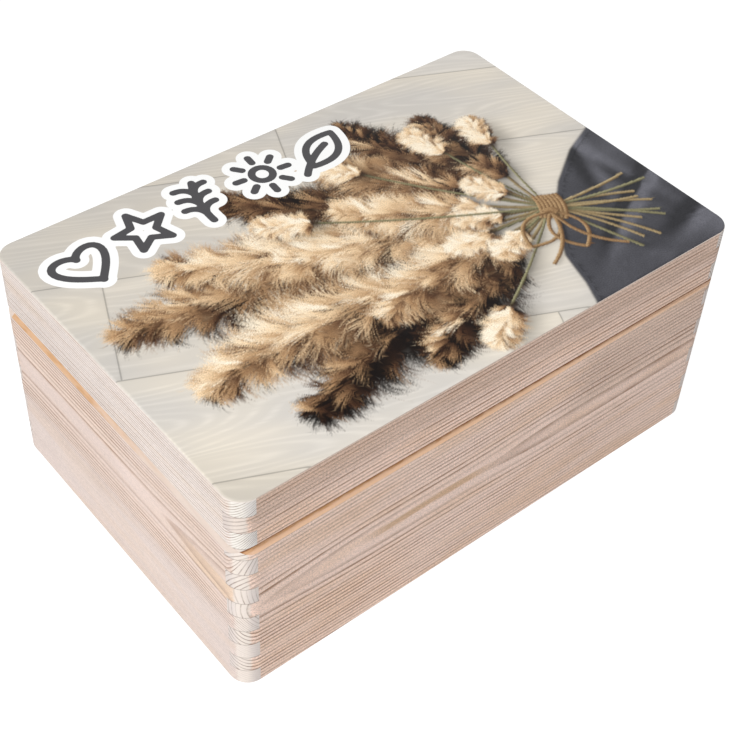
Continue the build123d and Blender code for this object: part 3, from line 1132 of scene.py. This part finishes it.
def print_material():
    """Printed planks, the painted grasses over them, and the marks with their white outline."""
    surface = Surface("print")
    x, y, _ = surface.place()
    pale, shade = planks(x, y)
    shade = shade * ramp(x * 0.55 - y * 0.85, -150, 20, 0.84, 0.98) * ramp(x + y, -250, -185, 0.8, 1.0)
    veil = surface.attribute("ink", "Alpha")
    thread = noise(vector(x / 0.7, y / 0.7, 6)) - 0.5
    ink = join("SCALE", surface.attribute("ink"), 1 + thread * 0.8)
    colour = join("ADD", join("SCALE", pale, shade * veil), ink)
    from_mark = surface.attribute("from_mark", "Fac")
    colour = blend(within(from_mark, MARK_HALO, MARK_BLUR), colour, MARK_WHITE)
    colour = blend(within(from_mark, MARK_LINE, MARK_BLUR), colour, MARK_CHARCOAL)
    return surface.finish(colour, 0.5, specular=0.06)


grasses = paint_print()
lay_film(grasses, paint_marks(grasses))


# Stage, lamps and camera

def light_paths(tree):
    """1 for the camera's own rays and for what gloss and glass reflect or pass on, else 0."""
    names = ("Is Camera Ray", "Is Glossy Ray", "Is Transmission Ray")
    camera, glossy, passed = (output_of(tree, "LightPath", {}, name) for name in names)
    return most(camera, most(glossy, passed))


def lay_floor():
    """A pale floor: it shows white to the camera and keeps a share of the box's shadow."""
    reach, shade, strength, share = 6.0, 0.67, 1.3, 0.7
    mesh = bpy.data.meshes.new("floor")
    corners = [(-reach, -reach, 0), (reach, -reach, 0), (reach, reach, 0), (-reach, reach, 0)]
    mesh.from_pydata(corners, [], [(0, 1, 2, 3)])
    floor_object = add_object("floor", mesh)
    material = bpy.data.materials.new("floor")
    material.use_nodes = True
    tree = material.node_tree
    tree.nodes.clear()
    paint = output_of(tree, "BsdfDiffuse", {"Color": (shade, shade, shade, 1)})
    glow = output_of(tree, "Emission", {"Strength": strength})
    mix = output_of(tree, "MixShader", {"Fac": light_paths(tree) * share, 1: paint, 2: glow})
    wire(tree, mix, tree.nodes.new("ShaderNodeOutputMaterial").inputs["Surface"])
    mesh.materials.append(material)


def light_world(strength):
    """A white world: that strength on the box, and plain white to the camera."""
    world = bpy.data.worlds.new("studio")
    bpy.context.scene.world = world
    world.use_nodes = True
    tree = world.node_tree
    background = tree.nodes["Background"]
    background.inputs["Color"].default_value = (1, 1, 1, 1)
    wire(tree, light_paths(tree) * (1 - strength) + strength, background.inputs["Strength"])


def direction(azimuth, elevation):
    """The unit vector towards a place round the box: azimuth 0 is in front, 90 is at the right."""
    a, e = math.radians(azimuth), math.radians(elevation)
    return Vector((math.sin(a) * math.cos(e), -math.cos(a) * math.cos(e), math.sin(e)))


def hang_lamp(name, azimuth, elevation, distance, width, watts):
    """A square lamp that faces the box, with its distance and width in metres."""
    lamp = bpy.data.lights.new(name, "AREA")
    lamp.size = width
    lamp.energy = watts
    holder = add_object(name, lamp)
    toward = direction(azimuth, elevation)
    holder.location = toward * distance
    holder.rotation_mode = "QUATERNION"
    holder.rotation_quaternion = toward.to_track_quat("Z", "Y")


def set_camera():
    """The photograph's view: its angles, its distance and its lens, in degrees, millimetres and pixels."""
    azimuth, elevation, roll = -41.134, 44.745, 2.993
    distance, shift_right, shift_up = 743.72, 0.58, -20.46
    target = Vector((0, 0, 70))
    frame_width, focal_length = 736, 1456.8
    sensor = 36
    back = direction(azimuth, elevation)
    a, r = math.radians(azimuth), math.radians(roll)
    level = Vector((math.cos(a), math.sin(a), 0))
    upright = back.cross(level)
    right = level * math.cos(r) + upright * math.sin(r)
    up = upright * math.cos(r) - level * math.sin(r)
    place = target + back * distance + right * shift_right + up * shift_up
    camera = bpy.data.cameras.new("camera")
    camera.sensor_width = sensor
    camera.sensor_fit = "HORIZONTAL"
    camera.lens = focal_length / frame_width * sensor
    camera.clip_start = 0.01
    camera.clip_end = 50
    holder = add_object("camera", camera)
    holder.matrix_world = Matrix.Translation(place * MM) @ Matrix((right, up, back)).transposed().to_4x4()
    bpy.context.scene.camera = holder


lay_floor()
light_world(strength=0.38)
hang_lamp("key", azimuth=-65, elevation=48, distance=2.2, width=1.0, watts=39)
hang_lamp("fill", azimuth=130, elevation=14, distance=2.5, width=1.0, watts=13)
set_camera()
bpy.context.scene.view_settings.view_transform = "Standard"
